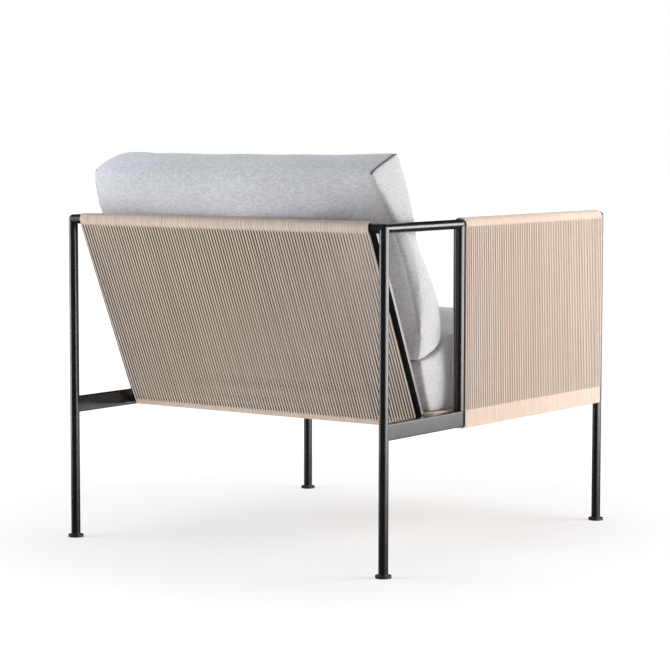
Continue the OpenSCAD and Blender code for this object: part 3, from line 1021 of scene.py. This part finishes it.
class LOUNGE_OT_stage(bpy.types.Operator):
    """Lay the floor, set the lights and point the camera"""

    bl_idname = "lounge.stage"
    bl_label = "Floor, Lights and Camera"

    def make_room(self, settings, scene):
        """White all round for the eye, a softer even light on the chair, nothing for the steel to mirror."""
        world = bpy.data.worlds.new("room")
        world.use_nodes = True
        tree = world.node_tree
        lit = tree.nodes["Background"]
        fill(tree, lit, {"Color": (0.90, 0.94, 1, 1), "Strength": settings.room_light})
        seen = add(tree, "ShaderNodeBackground", {"Color": (1, 1, 1, 1)})
        eye = add(tree, "ShaderNodeLightPath").outputs["Is Camera Ray"]
        either = add(tree, "ShaderNodeMixShader", {0: eye, 1: lit.outputs[0], 2: seen.outputs[0]})
        fill(tree, tree.nodes["World Output"], {"Surface": either.outputs[0]})
        world.cycles_visibility.glossy = False
        scene.world = world

    def lay_floor(self, settings):
        """A plain pale floor that brightens into the white backdrop away from the chair."""
        bm = bmesh.new()
        bmesh.ops.create_grid(bm, x_segments=1, y_segments=1, size=30)
        floor = piece_from(bm, "floor", turn_out=False)
        made, tree, shader = new_material("pale_floor")
        where = add(tree, "ShaderNodeTexCoord").outputs["Object"]
        speck = noise_value(tree, where, 6.0, 3.0)
        fill(tree, shader, {
            "Base Color": mix_colours(tree, speck, scaled_colour(settings.floor, 0.995), settings.floor),
            "Roughness": 0.9, "Specular IOR Level": 0.1})
        far = map_values(tree, vector_maths(tree, "LENGTH", where), 0.48, 1.0, 0.6, 1.3,
                         interpolation_type="SMOOTHSTEP")
        glow = add(tree, "ShaderNodeEmission", {"Strength": 1.12})
        blend = add(tree, "ShaderNodeMixShader", {0: far, 1: shader.outputs[0], 2: glow.outputs[0]})
        fill(tree, tree.nodes["Material Output"], {"Surface": blend.outputs[0]})
        floor.data.materials.append(made)
        floor.visible_glossy = False

    def execute(self, context):
        settings, scene = context.scene.lounge_stage, context.scene
        scene.view_settings.view_transform = "Standard"
        self.make_room(settings, scene)
        self.lay_floor(settings)
        middle = Vector((0, 0, 0.45))
        for name, place, size, tint, use in (
                ("rear_light", (2.0, 1.9, 1.3), (2.0, 2.0), (0.93, 0.965, 1.0), "diffuse"),
                ("side_light", (-2.4, -1.3, 1.0), (2.0, 2.0), (1.0, 0.945, 0.90), "diffuse"),
                ("top_light", (0.3, -0.3, 2.5), (2.4, 2.4), (0.95, 0.975, 1.0), "diffuse"),
                ("fill_light", (-1.0, 3.4, 0.9), (2.6, 2.0), (0.97, 0.98, 1.0), "diffuse"),
                ("side_card", (-2.2, -1.375, 0.8), (4.45, 1.7), (1.0, 0.98, 0.97), "glossy"),
                ("rear_card", (1.9, 1.2, 0.8), (1.2, 1.7), (0.85, 0.92, 1.0), "glossy")):
            lamp = bpy.data.lights.new(name, "AREA")
            lamp.shape = "RECTANGLE"
            lamp.size, lamp.size_y = size
            lamp.energy = getattr(settings, name)
            lamp.color = tint
            light = new_piece(name, lamp)
            light.location = place
            target = middle if use == "diffuse" else Vector((0, place[1], place[2]))
            light.rotation_euler = (target - Vector(place)).to_track_quat("-Z", "Y").to_euler()
            light.visible_camera = False
            light.visible_glossy = use == "glossy"
            light.visible_diffuse = use == "diffuse"
        eye = bpy.data.cameras.new("camera")
        eye.sensor_width = 36
        eye.lens = settings.lens
        eye.clip_end = 60
        camera = new_piece("camera", eye)
        turn, down, roll = math.radians(215.434), math.radians(5.06), math.radians(0.082)
        back_way = Vector((math.sin(turn) * math.cos(down), -math.cos(turn) * math.cos(down), math.sin(down)))
        level = Vector((math.cos(turn), math.sin(turn), 0))
        upward = back_way.cross(level)
        right_way = level * math.cos(roll) + upward * math.sin(roll)
        up_way = back_way.cross(right_way)
        facing = Matrix((right_way, up_way, back_way)).transposed()
        camera.matrix_world = Matrix.Translation((-2.7475, 3.8849, 0.8154)) @ facing.to_4x4()
        scene.camera = camera
        return {"FINISHED"}


class LOUNGE_PT_panel(bpy.types.Panel):
    """Steps that build the chair, in order"""

    bl_label = "Lounge Chair"
    bl_idname = "LOUNGE_PT_panel"
    bl_space_type = "VIEW_3D"
    bl_region_type = "UI"
    bl_category = "Lounge Chair"

    def draw(self, context):
        for step in STEPS:
            self.layout.operator(step.bl_idname)


STEPS = (
    LOUNGE_OT_stage, LOUNGE_OT_finishes, LOUNGE_OT_windings, LOUNGE_OT_back_cushion, LOUNGE_OT_seat_cushion)
SETTINGS = {
    "lounge_frame": LoungeFrameSettings, "lounge_cord": LoungeCordSettings,
    "lounge_cushion": LoungeCushionSettings, "lounge_stage": LoungeStageSettings}


def register():
    for made in (*SETTINGS.values(), *STEPS, LOUNGE_PT_panel):
        bpy.utils.register_class(made)
    for name, made in SETTINGS.items():
        setattr(bpy.types.Scene, name, bpy.props.PointerProperty(type=made))


def unregister():
    for name in SETTINGS:
        delattr(bpy.types.Scene, name)
    for made in reversed((*SETTINGS.values(), *STEPS, LOUNGE_PT_panel)):
        bpy.utils.unregister_class(made)


def main():
    register()
    for step in STEPS:
        group, name = step.bl_idname.split(".")
        getattr(getattr(bpy.ops, group), name)()


if __name__ == "__main__":
    main()
